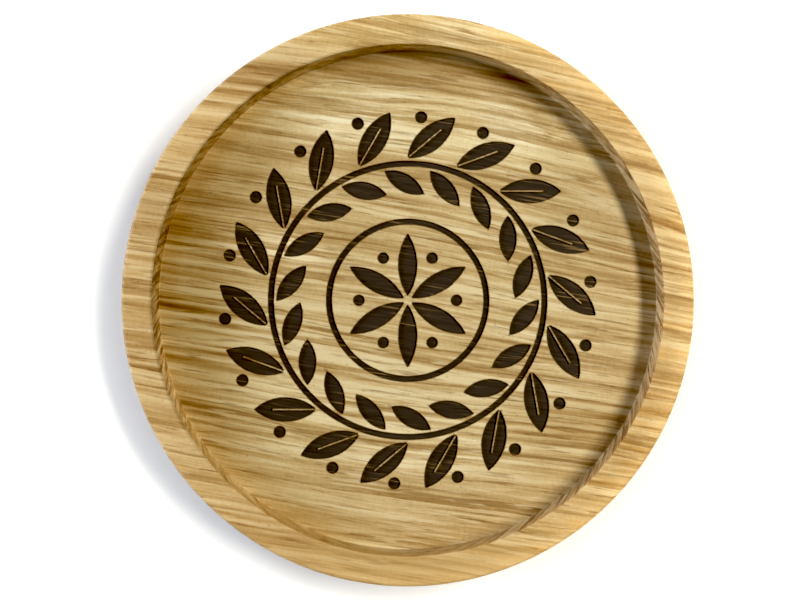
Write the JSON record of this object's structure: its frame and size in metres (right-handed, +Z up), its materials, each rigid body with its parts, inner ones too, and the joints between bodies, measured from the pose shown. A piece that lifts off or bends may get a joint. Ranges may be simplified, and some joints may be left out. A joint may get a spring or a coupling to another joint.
{
  "type": "drink coaster",
  "caption": "Round solid-oak drink coaster with a raised rim, a milled recess for the glass, a burnt-in leaf garland and stick-on cork feet.",
  "frame": {"origin": "on the table, under the centre of the disc", "axes": "+Z up out of the recess, +X along the grain of the oak to the right in the picture, +Y to the top of the picture"},
  "size_m": [0.1, 0.1, 0.0115],
  "materials": {
    "oak": "sanded, thinly oiled",
    "charred_oak": "burnt, matte",
    "cork": "raw pressed cork, matte",
    "adhesive": "thin double-sided film"
  },
  "bodies": {
    "root": {"oak_body": "oak", "burnt_outer_leaves": "charred_oak", "burnt_inner_leaves": "charred_oak", "burnt_stem_ring": "charred_oak", "burnt_berries": "charred_oak", "burnt_rosette_petals": "charred_oak", "burnt_rosette_ring": "charred_oak", "foot_adhesive_films": "adhesive", "cork_foot_front_left": "cork", "cork_foot_front_right": "cork", "cork_foot_rear_left": "cork", "cork_foot_rear_right": "cork"}
  },
  "joints": []
}
